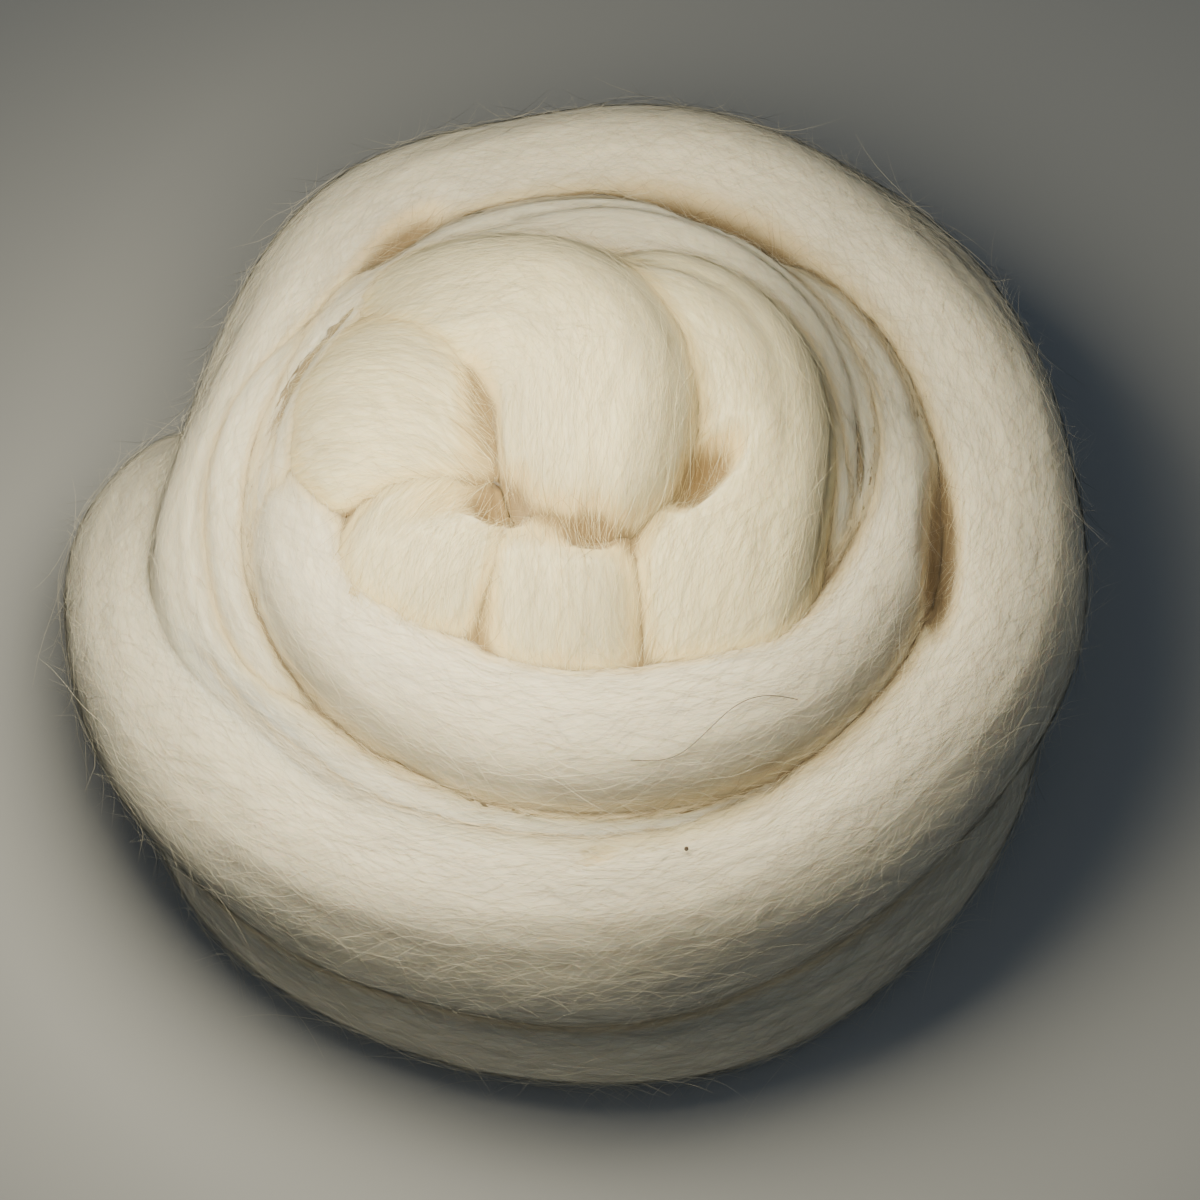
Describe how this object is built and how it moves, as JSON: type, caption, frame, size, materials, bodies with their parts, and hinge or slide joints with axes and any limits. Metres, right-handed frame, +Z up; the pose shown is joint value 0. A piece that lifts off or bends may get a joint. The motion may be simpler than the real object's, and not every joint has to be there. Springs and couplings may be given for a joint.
{
  "type": "wool roving nest",
  "caption": "Length of natural cream combed wool roving, loosely wound into a flattened nest with its end folded over as a raised heart.",
  "frame": {"origin": "bottom centre of the nest, on the surface it rests on, under the middle of its outline", "axes": "+Z up along the winding axis, +X to the right and +Y away from the front, where the front is the side with the foot coil showing below the outer coil"},
  "size_m": [0.2117, 0.2178, 0.101],
  "materials": {
    "wool": "soft matt combed wool"
  },
  "bodies": {
    "root": {"roving": "wool"}
  },
  "joints": []
}
